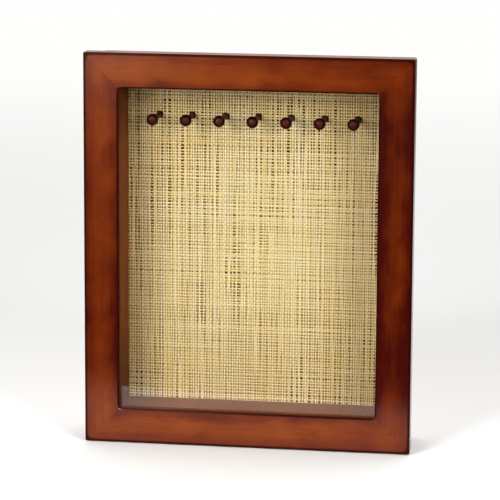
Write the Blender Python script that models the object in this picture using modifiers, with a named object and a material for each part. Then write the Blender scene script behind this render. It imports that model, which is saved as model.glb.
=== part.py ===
"""Glazed peg display case: a deep wooden box with a woven back panel and a row of turned pegs, closed by a hinged,
mitred and glazed front frame.

Frame: metres, +X to the right seen from the front, +Y to the back, +Z up. The origin is under the middle of the case,
on the surface that it stands on. Run with: blender --background --python part.py
"""

import math

import bpy
from mathutils import Matrix, Vector

MM = 0.001

# ---------------------------------------------------------------- driving dimensions
FRAME_W = 356 * MM  # front frame, over its outer edges
FRAME_H = 427 * MM
FRAME_LIFT = 1 * MM  # the front frame clears the surface, so that it can swing
DEPTH = 82 * MM  # front face of the frame to back of the case
FACE = 38 * MM  # width of the front moulding's face
FRAME_T = 19 * MM  # thickness of the front frame
SEAM = 2 * MM  # gap between the front frame and the case
OVERHANG = 7 * MM  # how far the front frame stands out past the case: the finger edge
WALL_SET = 3 * MM  # case's inner walls, outward of the sight edge

GAP = 0.3 * MM  # clearance between pieces that touch
ARRIS = 1.5 * MM  # radius of the eased edges

LIP_T = 7.0 * MM  # front lip that the glass sits behind
RABBET_W = 7 * MM  # width of the glass rabbet
GLASS_T = 2 * MM
STOP_W = 6 * MM
STOP_T = 8.0 * MM

BACK_RABBET_W = 9 * MM
PANEL_FACE = 72 * MM  # front face of the frame to the face of the raffia
RAFFIA_T = 0.6 * MM
RAFFIA_LAP = 2 * MM  # raffia tucked behind the case's shoulder
PANEL_T = 7.5 * MM

PEG_COUNT = 7
PEG_PITCH = 36.3 * MM
PEG_ROW_SHIFT = 1.2 * MM  # the row's middle, right of the case's middle
PEG_Z = 353.3 * MM
PEG_REACH = 44 * MM  # raffia to the widest part of the head
PEG_HEAD_R = 6.45 * MM
PEG_HEAD_HALF = 5.2 * MM
PEG_FOOT_R = 3.75 * MM
PEG_NECK_R = 2.5 * MM
TENON_R = 3.0 * MM
TENON_L = 8.1 * MM

HINGE_H = 45 * MM
HINGE_Z = (77 * MM, 352 * MM)
LEAF_W = 23.8 * MM
LEAF_T = 1.2 * MM
BARREL_R = 2.5 * MM
BORE_R = 1.3 * MM
PIN_R = 1.0 * MM
KNUCKLE_HALF = 7.7 * MM  # half height of the door leaf's knuckle
KNUCKLE_GAP = 0.3 * MM

SCREW_HEAD_R = 2.2 * MM
SCREW_HEAD_H = 1.1 * MM
SCREW_R = 1.05 * MM
SCREW_L = 10 * MM

CATCH_X = 157 * MM
CATCH_Z = 214.5 * MM
MAGNET_R = 4 * MM
MAGNET_L = 6 * MM
STRIKE_R = 6 * MM
BUMPER_R = 3.5 * MM
BUMPER_Z = (45 * MM, 384 * MM)

PLATE_W = 14 * MM
PLATE_H = 40 * MM
PLATE_T = 1.5 * MM
PLATE_Z = 355 * MM
KEYHOLE_R = 4.5 * MM
KEYSLOT_R = 2.3 * MM

# ---------------------------------------------------------------- planes that follow from them
FRONT = -DEPTH / 2
BACK = DEPTH / 2
FRAME_BACK = FRONT + FRAME_T
CASE_FRONT = FRAME_BACK + SEAM
X_OUT = FRAME_W / 2
X_SIGHT = X_OUT - FACE
Z_LOW = FRAME_LIFT
Z_HIGH = FRAME_LIFT + FRAME_H
Z_SIGHT_LOW = Z_LOW + FACE
Z_SIGHT_HIGH = Z_HIGH - FACE
X_CASE = X_OUT - OVERHANG
Z_CASE = Z_HIGH - OVERHANG
X_WALL = X_SIGHT + WALL_SET
Z_FLOOR = Z_SIGHT_LOW - WALL_SET
Z_CEIL = Z_SIGHT_HIGH + WALL_SET
X_RABBET = X_WALL + BACK_RABBET_W
Z_RABBET_LOW = Z_FLOOR - BACK_RABBET_W
Z_RABBET_HIGH = Z_CEIL + BACK_RABBET_W
RAFFIA_Y = FRONT + PANEL_FACE
SHOULDER_Y = RAFFIA_Y - GAP
PANEL_Y = RAFFIA_Y + RAFFIA_T + GAP
PANEL_SCREW_X = X_RABBET - 3.5 * MM
LIP_Y = FRONT + LIP_T
GLASS_Y = LIP_Y + GAP
STOP_Y = GLASS_Y + GLASS_T + GAP

# The hinge barrel stands behind the frame's overhang, beside the case.
LEAF_AIR = 0.4 * MM
BARREL_IN = 0.1 * MM  # how deep the leaf's face lies inside the barrel's outline
AXIS_X = -X_CASE - LEAF_AIR - BARREL_R + BARREL_IN
AXIS_Y = FRAME_BACK + LEAF_AIR + BARREL_R - BARREL_IN

TO_FRONT = Matrix.Rotation(math.radians(90), 4, "X")  # local +Z points to -Y
TO_BACK = Matrix.Rotation(math.radians(-90), 4, "X")  # local +Z points to +Y
TO_LEFT = Matrix.Rotation(math.radians(-90), 4, "Y")  # local +Z points to -X

# ---------------------------------------------------------------- scene and collections
for old in list(bpy.data.objects):
    bpy.data.objects.remove(old, do_unlink=True)

parts = bpy.data.collections.new("glazed_peg_case")
cutters = bpy.data.collections.new("cutters")
cutters.hide_render = True
for collection in (parts, cutters):
    bpy.context.scene.collection.children.link(collection)


def material(name, colour, roughness, metallic=0.0, alpha=1.0, transmission=0.0, coat=0.0):
    made = bpy.data.materials.new(name)
    made.use_nodes = True
    shader = made.node_tree.nodes["Principled BSDF"]
    shader.inputs["Base Color"].default_value = (*colour, 1.0)
    shader.inputs["Roughness"].default_value = roughness
    shader.inputs["Metallic"].default_value = metallic
    shader.inputs["Alpha"].default_value = alpha
    shader.inputs["Transmission Weight"].default_value = transmission
    shader.inputs["Coat Weight"].default_value = coat
    made.diffuse_color = (*colour, alpha)
    return made


FRAME_WOOD = material("frame_wood", (0.20, 0.045, 0.015), 0.38, coat=0.3)
CASE_WOOD = material("case_wood", (0.15, 0.045, 0.015), 0.45)
PEG_WOOD = material("peg_wood", (0.045, 0.008, 0.006), 0.3, coat=0.4)
RAFFIA = material("raffia", (0.55, 0.40, 0.20), 0.7)
PLYWOOD = material("plywood", (0.48, 0.32, 0.17), 0.7)
GLASS = material("glass", (0.95, 0.98, 0.97), 0.03, alpha=0.25, transmission=1.0)
BRASS = material("brass", (0.60, 0.42, 0.16), 0.3, metallic=1.0)
STEEL = material("zinc_steel", (0.55, 0.56, 0.57), 0.35, metallic=1.0)
MAGNET = material("magnet", (0.45, 0.45, 0.46), 0.25, metallic=1.0)
CLEAR = material("clear_polymer", (0.85, 0.86, 0.84), 0.2, alpha=0.6)


def keep(obj, collection, name, finish=None):
    """Name an object, give it its material and move it to its collection."""
    obj.name = name
    obj.data.name = name
    if finish is not None:
        obj.data.materials.clear()
        obj.data.materials.append(finish)
    for other in list(obj.users_collection):
        other.objects.unlink(obj)
    collection.objects.link(obj)
    if collection is cutters:
        obj.hide_render = True
        obj.display_type = "WIRE"
    return obj


def box(name, low, high, finish=None, ease=0.0, along="XYZ", collection=None, segments=2):
    """A box from its two corners. Its edges along the named axes are eased to a radius."""
    low, high = Vector(low), Vector(high)
    bpy.ops.mesh.primitive_cube_add(size=1.0, location=(low + high) / 2)
    obj = bpy.context.object
    size = high - low
    obj.data.transform(Matrix.Diagonal((size.x, size.y, size.z, 1.0)))
    keep(obj, collection or parts, name, finish)
    if ease:
        mesh = obj.data
        weights = mesh.attributes.new("bevel_weight_edge", "FLOAT", "EDGE")
        for edge in mesh.edges:
            step = mesh.vertices[edge.vertices[1]].co - mesh.vertices[edge.vertices[0]].co
            axis = "XYZ"[max(range(3), key=lambda i: abs(step[i]))]
            weights.data[edge.index].value = 1.0 if axis in along else 0.0
        bevel = obj.modifiers.new("eased_edges", "BEVEL")
        bevel.limit_method = "WEIGHT"
        bevel.width = ease
        bevel.segments = segments
    return obj


def rod(name, radius, length, place, finish=None, collection=None, sides=16):
    """A cylinder whose axis is local Z and whose middle is at the given place."""
    bpy.ops.mesh.primitive_cylinder_add(vertices=sides, radius=radius, depth=length)
    obj = bpy.context.object
    obj.matrix_world = place
    keep(obj, collection or parts, name, finish)
    return smooth(obj)


def smooth(obj, angle=35):
    obj.data.shade_smooth()
    obj.data.set_sharp_from_angle(angle=math.radians(angle))
    return obj


def turned(name, profile, place, finish=None, collection=None, steps=16):
    """A turned shape: profile is (radius, height) from the top of the axis down to its bottom."""
    mesh = bpy.data.meshes.new(name)
    points = [(r, 0.0, z) for r, z in profile]
    mesh.from_pydata(points, [(i, i + 1) for i in range(len(points) - 1)], [])
    obj = bpy.data.objects.new(name, mesh)
    (collection or parts).objects.link(obj)
    obj.matrix_world = place
    keep(obj, collection or parts, name, finish)
    screw = obj.modifiers.new("turn", "SCREW")
    screw.steps = steps
    screw.render_steps = steps
    screw.use_merge_vertices = True
    screw.merge_threshold = 0.00001
    screw.use_smooth_shade = True
    return obj


def boolean(obj, other, operation="DIFFERENCE"):
    cut = obj.modifiers.new(f"{operation.lower()}_{other.name}", "BOOLEAN")
    cut.operation = operation
    cut.object = other
    cut.solver = "EXACT"


def cut_box(obj, name, low, high):
    boolean(obj, box(name, low, high, collection=cutters))


def cut_rod(obj, name, radius, length, place, sides=16):
    boolean(obj, rod(name, radius, length, place, collection=cutters, sides=sides))


def at(x, y, z, turn=None):
    place = Matrix.Translation((x, y, z))
    return place @ turn if turn is not None else place


# ---------------------------------------------------------------- front frame (swings on the hinges)
DOOR_PARTS = []


def mitre(obj, name, corner, outward):
    """Cut a frame member off at 45 degrees through a corner. outward is the cutter's side, as (x, z) signs."""
    reach = 130 * MM
    bpy.ops.mesh.primitive_cube_add(size=1.0)
    cutter = bpy.context.object
    cutter.data.transform(Matrix.Diagonal((reach, reach, reach, 1.0)))
    # The cube's -X face lies on the mitre plane, half a joint gap inside it.
    cutter.data.transform(Matrix.Translation((reach / 2 - GAP / 2, 0, 0)))
    angle = math.atan2(outward[1], outward[0])
    cutter.matrix_world = at(corner[0], (FRONT + FRAME_BACK) / 2, corner[1]) @ Matrix.Rotation(-angle, 4, "Y")
    keep(cutter, cutters, name)
    boolean(obj, cutter)


INNER = {
    (-1, -1): (-X_SIGHT, Z_SIGHT_LOW),
    (1, -1): (X_SIGHT, Z_SIGHT_LOW),
    (-1, 1): (-X_SIGHT, Z_SIGHT_HIGH),
    (1, 1): (X_SIGHT, Z_SIGHT_HIGH),
}
BEYOND = 20 * MM


def stile(name, side):
    xs = sorted((side * X_SIGHT, side * X_OUT))
    obj = box(name, (xs[0], FRONT, Z_LOW), (xs[1], FRAME_BACK, Z_HIGH), FRAME_WOOD, ease=ARRIS)
    rabbet = sorted((side * (X_SIGHT - BEYOND), side * (X_SIGHT + RABBET_W)))
    cut_box(obj, name + "_rabbet", (rabbet[0], LIP_Y, Z_LOW - BEYOND), (rabbet[1], FRAME_BACK + BEYOND, Z_HIGH + BEYOND))
    # The rail's side of each mitre is cut away: towards the middle and past the end.
    mitre(obj, name + "_mitre_low", INNER[(side, -1)], (-side, -1))
    mitre(obj, name + "_mitre_high", INNER[(side, 1)], (-side, 1))
    DOOR_PARTS.append(obj)
    return obj


def rail(name, side):
    zs = (Z_LOW, Z_SIGHT_LOW) if side < 0 else (Z_SIGHT_HIGH, Z_HIGH)
    obj = box(name, (-X_OUT, FRONT, zs[0]), (X_OUT, FRAME_BACK, zs[1]), FRAME_WOOD, ease=ARRIS)
    edge = (zs[1] - RABBET_W, zs[1] + BEYOND) if side < 0 else (zs[0] - BEYOND, zs[0] + RABBET_W)
    cut_box(obj, name + "_rabbet", (-X_OUT - BEYOND, LIP_Y, edge[0]), (X_OUT + BEYOND, FRAME_BACK + BEYOND, edge[1]))
    mitre(obj, name + "_mitre_left", INNER[(-1, side)], (-1, -side))
    mitre(obj, name + "_mitre_right", INNER[(1, side)], (1, -side))
    DOOR_PARTS.append(obj)
    return obj


door_stile_left = stile("door_stile_left", -1)
door_stile_right = stile("door_stile_right", 1)
door_rail_bottom = rail("door_rail_bottom", -1)
door_rail_top = rail("door_rail_top", 1)

GLASS_EDGE = RABBET_W - 0.6 * MM
glass_pane = box(
    "glass_pane",
    (-X_SIGHT - GLASS_EDGE, GLASS_Y, Z_SIGHT_LOW - GLASS_EDGE),
    (X_SIGHT + GLASS_EDGE, GLASS_Y + GLASS_T, Z_SIGHT_HIGH + GLASS_EDGE),
    GLASS,
)
DOOR_PARTS.append(glass_pane)

# Strips that hold the glass in its rabbet. The upright ones run the full height, the others fit between them.
stop_out_x = X_SIGHT + RABBET_W - GAP
stop_in_x = stop_out_x - STOP_W
stop_low = Z_SIGHT_LOW - RABBET_W + GAP
stop_high = Z_SIGHT_HIGH + RABBET_W - GAP
for side, name in ((-1, "glass_stop_left"), (1, "glass_stop_right")):
    xs = sorted((side * stop_in_x, side * stop_out_x))
    DOOR_PARTS.append(
        box(name, (xs[0], STOP_Y, stop_low), (xs[1], STOP_Y + STOP_T, stop_high), FRAME_WOOD, ease=0.8 * MM, along="Z")
    )
for low, name in ((stop_low, "glass_stop_bottom"), (stop_high - STOP_W, "glass_stop_top")):
    DOOR_PARTS.append(
        box(
            name,
            (-stop_in_x + GAP, STOP_Y, low),
            (stop_in_x - GAP, STOP_Y + STOP_T, low + STOP_W),
            FRAME_WOOD,
            ease=0.8 * MM,
            along="X",
        )
    )

# ---------------------------------------------------------------- case
case_left = box("case_left", (-X_CASE, CASE_FRONT, 0), (-X_WALL, BACK, Z_CASE), CASE_WOOD, ease=1.2 * MM)
case_right = box("case_right", (X_WALL, CASE_FRONT, 0), (X_CASE, BACK, Z_CASE), CASE_WOOD, ease=1.2 * MM)
case_bottom = box(
    "case_bottom", (-X_WALL + GAP, CASE_FRONT, 0), (X_WALL - GAP, BACK, Z_FLOOR), CASE_WOOD, ease=1.2 * MM, along="X"
)
case_top = box(
    "case_top", (-X_WALL + GAP, CASE_FRONT, Z_CEIL), (X_WALL - GAP, BACK, Z_CASE), CASE_WOOD, ease=1.2 * MM, along="X"
)
for obj, side in ((case_left, -1), (case_right, 1)):
    xs = sorted((side * (X_WALL - BEYOND), side * X_RABBET))
    cut_box(obj, obj.name + "_rabbet", (xs[0], SHOULDER_Y, Z_RABBET_LOW), (xs[1], BACK + BEYOND, Z_RABBET_HIGH))
cut_box(
    case_bottom, "case_bottom_rabbet", (-X_WALL - BEYOND, SHOULDER_Y, Z_RABBET_LOW), (X_WALL + BEYOND, BACK + BEYOND, Z_FLOOR + BEYOND)
)
cut_box(
    case_top, "case_top_rabbet", (-X_WALL - BEYOND, SHOULDER_Y, Z_CEIL - BEYOND), (X_WALL + BEYOND, BACK + BEYOND, Z_RABBET_HIGH)
)

back_panel = box(
    "back_panel",
    (-X_RABBET + GAP, PANEL_Y, Z_RABBET_LOW + GAP),
    (X_RABBET - GAP, PANEL_Y + PANEL_T, Z_RABBET_HIGH - GAP),
    PLYWOOD,
)
raffia_panel = box(
    "raffia_panel",
    (-X_WALL - RAFFIA_LAP, RAFFIA_Y, Z_FLOOR - RAFFIA_LAP),
    (X_WALL + RAFFIA_LAP, RAFFIA_Y + RAFFIA_T, Z_CEIL + RAFFIA_LAP),
    RAFFIA,
)

# ---------------------------------------------------------------- pegs


def peg_profile():
    """Turned outline from the crown of the head to the end of the tenon. Height 0 is the raffia's face."""
    outline = [(0.0, PEG_REACH + PEG_HEAD_HALF)]
    join = 142  # degrees round the head, from the crown to where it runs into the neck
    rings = 6
    for i in range(1, rings + 1):
        angle = math.radians(join * i / rings)
        outline.append((PEG_HEAD_R * math.sin(angle), PEG_REACH + PEG_HEAD_HALF * math.cos(angle)))
    outline += [
        (PEG_NECK_R, PEG_REACH - PEG_HEAD_HALF - 1.0 * MM),
        (PEG_NECK_R + 0.2 * MM, PEG_REACH * 0.55),
        (PEG_FOOT_R - 0.5 * MM, PEG_REACH * 0.18),
        (PEG_FOOT_R, 2.0 * MM),
        (PEG_FOOT_R, GAP),
        (TENON_R, GAP),
        (TENON_R, -TENON_L + 0.6 * MM),
        (TENON_R - 0.6 * MM, -TENON_L),
        (0.0, -TENON_L),
    ]
    return outline


for index in range(PEG_COUNT):
    x = PEG_ROW_SHIFT + (index - (PEG_COUNT - 1) / 2) * PEG_PITCH
    name = f"peg_{index + 1}"
    turned(name, peg_profile(), at(x, RAFFIA_Y, PEG_Z, TO_FRONT), PEG_WOOD, steps=12)
    hole = rod(
        name + "_hole",
        TENON_R + GAP,
        40 * MM,
        at(x, PANEL_Y, PEG_Z, TO_FRONT),
        collection=cutters,
        sides=12,
    )
    boolean(raffia_panel, hole)
    boolean(back_panel, hole)

# ---------------------------------------------------------------- screws


def screw_outline(grow=0.0, length=SCREW_L):
    """A countersunk screw, head up, its head's face at height 0. grow makes the hole it sits in."""
    top = 2 * MM if grow else 0.0
    head = SCREW_HEAD_R + grow
    shank = SCREW_R + grow
    outline = [(0.0, top)]
    if grow:
        outline.append((head, top))
    outline += [(head, -grow * 0.4), (shank, -SCREW_HEAD_H - grow), (shank, -length + 1.6 * MM)]
    if grow:
        outline += [(shank, -length - 1.0 * MM), (0.0, -length - 1.0 * MM)]
    else:
        outline.append((0.0, -length))
    return outline


def screw(name, place, through, finish=BRASS, length=SCREW_L, slot_angle=0.0):
    """A slotted countersunk screw, and its hole in each piece that it passes through."""
    obj = turned(name, screw_outline(length=length), place, finish, steps=12)
    slot = box(
        name + "_slot",
        (-SCREW_HEAD_R * 1.5, -0.3 * MM, -0.5 * MM),
        (SCREW_HEAD_R * 1.5, 0.3 * MM, 1.0 * MM),
        collection=cutters,
    )
    slot.matrix_world = place @ Matrix.Rotation(slot_angle, 4, "Z") @ Matrix.Translation(slot.matrix_world.translation)
    boolean(obj, slot)
    hole = turned(name + "_hole", screw_outline(GAP, length), place, collection=cutters, steps=10)
    for piece in through:
        boolean(piece, hole)
    return obj


PANEL_BACK = PANEL_Y + PANEL_T
PANEL_SCREW_L = 16 * MM
screw_places = [
    ("panel_screw_left_low", -PANEL_SCREW_X, 110 * MM, case_left),
    ("panel_screw_left_high", -PANEL_SCREW_X, 319 * MM, case_left),
    ("panel_screw_right_low", PANEL_SCREW_X, 110 * MM, case_right),
    ("panel_screw_right_high", PANEL_SCREW_X, 319 * MM, case_right),
    ("panel_screw_bottom_left", -75 * MM, Z_RABBET_LOW + 3.5 * MM, case_bottom),
    ("panel_screw_bottom_right", 75 * MM, Z_RABBET_LOW + 3.5 * MM, case_bottom),
    ("panel_screw_top_left", -75 * MM, Z_RABBET_HIGH - 3.5 * MM, case_top),
    ("panel_screw_top_right", 75 * MM, Z_RABBET_HIGH - 3.5 * MM, case_top),
]
for number, (name, x, z, wall) in enumerate(screw_places):
    screw(
        name,
        at(x, PANEL_BACK - 0.1 * MM, z, TO_BACK),
        (back_panel, wall),
        STEEL,
        PANEL_SCREW_L,
        slot_angle=math.radians(37 * number),
    )

# ---------------------------------------------------------------- hinges


def knuckle(name, low, high):
    return rod(
        name, BARREL_R, high - low, at(AXIS_X, AXIS_Y, (low + high) / 2), collection=cutters
    )


def hinge(which, z):
    half = HINGE_H / 2
    leaf_x = AXIS_X + BARREL_R - BARREL_IN  # case leaf's inner face
    leaf_y = AXIS_Y - BARREL_R + BARREL_IN  # door leaf's front face
    clear = BARREL_R + 0.4 * MM
    bore_low, bore_high = z - half - 5 * MM, z + half + 5 * MM

    # Each leaf's tongue is a little narrower than its knuckle, so the knuckle's ends stand clear of it.
    tongue = 0.2 * MM
    case_leaf = box(
        f"hinge_case_leaf_{which}",
        (leaf_x - LEAF_T, AXIS_Y, z - half),
        (leaf_x, AXIS_Y + LEAF_W, z + half),
        BRASS,
    )
    cut_box(
        case_leaf,
        case_leaf.name + "_notch",
        (leaf_x - 5 * MM, AXIS_Y - 5 * MM, z - KNUCKLE_HALF - KNUCKLE_GAP - tongue),
        (leaf_x + 5 * MM, AXIS_Y + clear, z + KNUCKLE_HALF + KNUCKLE_GAP + tongue),
    )
    for end, low, high in (
        ("low", z - half + tongue, z - KNUCKLE_HALF - KNUCKLE_GAP),
        ("high", z + KNUCKLE_HALF + KNUCKLE_GAP, z + half - tongue),
    ):
        boolean(case_leaf, knuckle(f"{case_leaf.name}_knuckle_{end}", low, high), "UNION")

    door_leaf = box(
        f"hinge_door_leaf_{which}",
        (AXIS_X, leaf_y, z - half),
        (AXIS_X + LEAF_W, leaf_y + LEAF_T, z + half),
        BRASS,
    )
    for end, low, high in (
        ("low", z - half - 5 * MM, z - KNUCKLE_HALF + tongue),
        ("high", z + KNUCKLE_HALF - tongue, z + half + 5 * MM),
    ):
        cut_box(
            door_leaf,
            f"{door_leaf.name}_notch_{end}",
            (AXIS_X - 5 * MM, leaf_y - 5 * MM, low),
            (AXIS_X + clear, leaf_y + 5 * MM, high),
        )
    boolean(door_leaf, knuckle(door_leaf.name + "_knuckle", z - KNUCKLE_HALF, z + KNUCKLE_HALF), "UNION")
    for leaf in (case_leaf, door_leaf):
        cut_rod(
            leaf, leaf.name + "_bore", BORE_R, bore_high - bore_low, at(AXIS_X, AXIS_Y, (bore_low + bore_high) / 2)
        )
    DOOR_PARTS.append(door_leaf)

    tip = half + GAP
    pin_outline = [
        (0.0, tip + 1.5 * MM),
        (1.3 * MM, tip + 1.1 * MM),
        (1.9 * MM, tip + 0.3 * MM),
        (1.9 * MM, tip),
        (PIN_R, tip),
        (PIN_R, -tip),
        (1.9 * MM, -tip),
        (1.9 * MM, -tip - 0.3 * MM),
        (1.3 * MM, -tip - 1.1 * MM),
        (0.0, -tip - 1.5 * MM),
    ]
    turned(f"hinge_pin_{which}", pin_outline, at(AXIS_X, AXIS_Y, z), BRASS, steps=12)

    for end, dz in (("low", -14.5 * MM), ("high", 14.5 * MM)):
        screw(
            f"case_leaf_screw_{which}_{end}",
            at(leaf_x - LEAF_T + 0.05 * MM, AXIS_Y + 14 * MM, z + dz, TO_LEFT),
            (case_leaf, case_left),
            slot_angle=math.radians(25 if end == "low" else 110),
        )
        DOOR_PARTS.append(
            screw(
                f"door_leaf_screw_{which}_{end}",
                at(AXIS_X + 15 * MM, leaf_y + LEAF_T - 0.05 * MM, z + dz, TO_BACK),
                (door_leaf, door_stile_left),
                slot_angle=math.radians(70 if end == "low" else 15),
            )
        )


hinge("lower", HINGE_Z[0])
hinge("upper", HINGE_Z[1])

# ---------------------------------------------------------------- magnet catch and bumper dots
magnet_face = CASE_FRONT - 0.2 * MM
catch_magnet = turned(
    "catch_magnet",
    [
        (0.0, 0.0),
        (MAGNET_R - 0.4 * MM, 0.0),
        (MAGNET_R, -0.4 * MM),
        (MAGNET_R, -MAGNET_L),
        (0.0, -MAGNET_L),
    ],
    at(CATCH_X, magnet_face, CATCH_Z, TO_FRONT),
    MAGNET,
)
cut_rod(
    case_right,
    "catch_magnet_bore",
    MAGNET_R + GAP,
    2 * (MAGNET_L + GAP),
    at(CATCH_X, magnet_face, CATCH_Z, TO_FRONT),
)
strike_y = FRAME_BACK + GAP
STRIKE_T = 1.2 * MM
catch_strike = turned(
    "catch_strike",
    [
        (0.0, STRIKE_T),
        (STRIKE_R - 0.3 * MM, STRIKE_T),
        (STRIKE_R, STRIKE_T - 0.3 * MM),
        (STRIKE_R, 0.0),
        (0.0, 0.0),
    ],
    at(CATCH_X, strike_y, CATCH_Z, TO_BACK),
    STEEL,
)
DOOR_PARTS.append(catch_strike)
DOOR_PARTS.append(
    screw(
        "catch_strike_screw",
        at(CATCH_X, strike_y + STRIKE_T - 0.05 * MM, CATCH_Z, TO_BACK),
        (catch_strike, door_stile_right),
        STEEL,
        slot_angle=math.radians(50),
    )
)
BUMPER_T = SEAM - 2 * GAP
for z, which in zip(BUMPER_Z, ("lower", "upper")):
    turned(
        f"door_bumper_{which}",
        [
            (0.0, BUMPER_T),
            (BUMPER_R * 0.6, BUMPER_T - 0.12 * MM),
            (BUMPER_R * 0.9, BUMPER_T - 0.6 * MM),
            (BUMPER_R, 0.0),
            (0.0, 0.0),
        ],
        at(CATCH_X, CASE_FRONT - GAP, z, TO_FRONT),
        CLEAR,
    )

# ---------------------------------------------------------------- keyhole hanger plates, let into the back edges
PLATE_BACK = BACK - 0.2 * MM
for side, which, wall in ((-1, "left", case_left), (1, "right", case_right)):
    x = side * (X_CASE + X_RABBET) / 2
    plate = box(
        f"hanger_plate_{which}",
        (x - PLATE_W / 2, PLATE_BACK - PLATE_T, PLATE_Z - PLATE_H / 2),
        (x + PLATE_W / 2, PLATE_BACK, PLATE_Z + PLATE_H / 2),
        STEEL,
        ease=2.5 * MM,
        along="Y",
    )
    cut_box(
        wall,
        plate.name + "_recess",
        (x - PLATE_W / 2 - GAP, PLATE_BACK - PLATE_T - GAP, PLATE_Z - PLATE_H / 2 - GAP),
        (x + PLATE_W / 2 + GAP, BACK + BEYOND, PLATE_Z + PLATE_H / 2 + GAP),
    )
    cut_box(
        wall,
        plate.name + "_pocket",
        (x - 5.5 * MM, PLATE_BACK - PLATE_T - 9 * MM, PLATE_Z - 12.5 * MM),
        (x + 5.5 * MM, BACK, PLATE_Z + 9 * MM),
    )
    hole_z, slot_z = PLATE_Z - 6.5 * MM, PLATE_Z + 6 * MM
    cut_rod(plate, plate.name + "_keyhole", KEYHOLE_R, 20 * MM, at(x, PLATE_BACK, hole_z, TO_FRONT))
    cut_box(
        plate,
        plate.name + "_slot",
        (x - KEYSLOT_R, PLATE_BACK - 10 * MM, hole_z),
        (x + KEYSLOT_R, PLATE_BACK + 10 * MM, slot_z),
    )
    cut_rod(plate, plate.name + "_slot_end", KEYSLOT_R * 0.995, 20 * MM, at(x, PLATE_BACK, slot_z, TO_FRONT))
    for end, dz in (("low", -16 * MM), ("high", 16 * MM)):
        screw(
            f"hanger_screw_{which}_{end}",
            at(x, PLATE_BACK - 0.05 * MM, PLATE_Z + dz, TO_BACK),
            (plate, wall),
            STEEL,
            slot_angle=math.radians(20 if end == "low" else 80),
        )

# ---------------------------------------------------------------- the front frame's pieces turn about the hinge axis
hinge_axis = bpy.data.objects.new("hinge_axis", None)
hinge_axis.empty_display_size = 0.03
parts.objects.link(hinge_axis)
hinge_axis.location = (AXIS_X, AXIS_Y, (Z_LOW + Z_HIGH) / 2)
bpy.context.view_layer.update()
for piece in DOOR_PARTS:
    piece.parent = hinge_axis
    piece.matrix_parent_inverse = hinge_axis.matrix_world.inverted()
bpy.context.view_layer.update()
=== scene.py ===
"""Looks of the glazed peg display case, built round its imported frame. Metres, in the CAD's own frame: +X right, +Y back,
+Z up, with the origin under the middle of the case."""

import math

import bpy
import numpy as np
from mathutils import Matrix, Vector


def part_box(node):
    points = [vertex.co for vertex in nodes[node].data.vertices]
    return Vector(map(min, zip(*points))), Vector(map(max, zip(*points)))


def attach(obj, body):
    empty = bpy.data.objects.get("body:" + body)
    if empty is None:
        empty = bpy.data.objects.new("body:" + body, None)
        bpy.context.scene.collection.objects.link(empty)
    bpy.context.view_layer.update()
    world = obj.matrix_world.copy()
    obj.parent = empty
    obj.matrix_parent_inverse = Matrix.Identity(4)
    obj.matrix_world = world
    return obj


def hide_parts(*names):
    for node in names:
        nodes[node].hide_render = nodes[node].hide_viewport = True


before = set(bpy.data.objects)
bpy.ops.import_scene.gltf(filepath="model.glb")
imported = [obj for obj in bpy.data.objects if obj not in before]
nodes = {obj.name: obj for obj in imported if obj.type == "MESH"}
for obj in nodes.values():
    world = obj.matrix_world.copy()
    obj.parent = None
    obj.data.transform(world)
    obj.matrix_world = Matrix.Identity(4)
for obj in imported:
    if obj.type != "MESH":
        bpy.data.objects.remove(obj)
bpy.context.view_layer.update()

scene = bpy.context.scene
MM = 0.001

# ------------------------------------------------------------------ places read from the frame
front_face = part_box("door_rail_top")[0].y
x_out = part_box("door_stile_right")[1].x
z_out_low, z_out_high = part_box("door_rail_bottom")[0].z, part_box("door_rail_top")[1].z
z_middle, z_half = (z_out_low + z_out_high) / 2, (z_out_high - z_out_low) / 2
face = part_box("door_rail_bottom")[1].z - z_out_low
x_sight, z_sight = x_out - face, z_half - face
raffia_low, raffia_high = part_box("raffia_panel")
case_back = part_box("case_left")[1].y
peg_names = sorted(n for n in nodes if n.startswith("peg_"))


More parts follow.
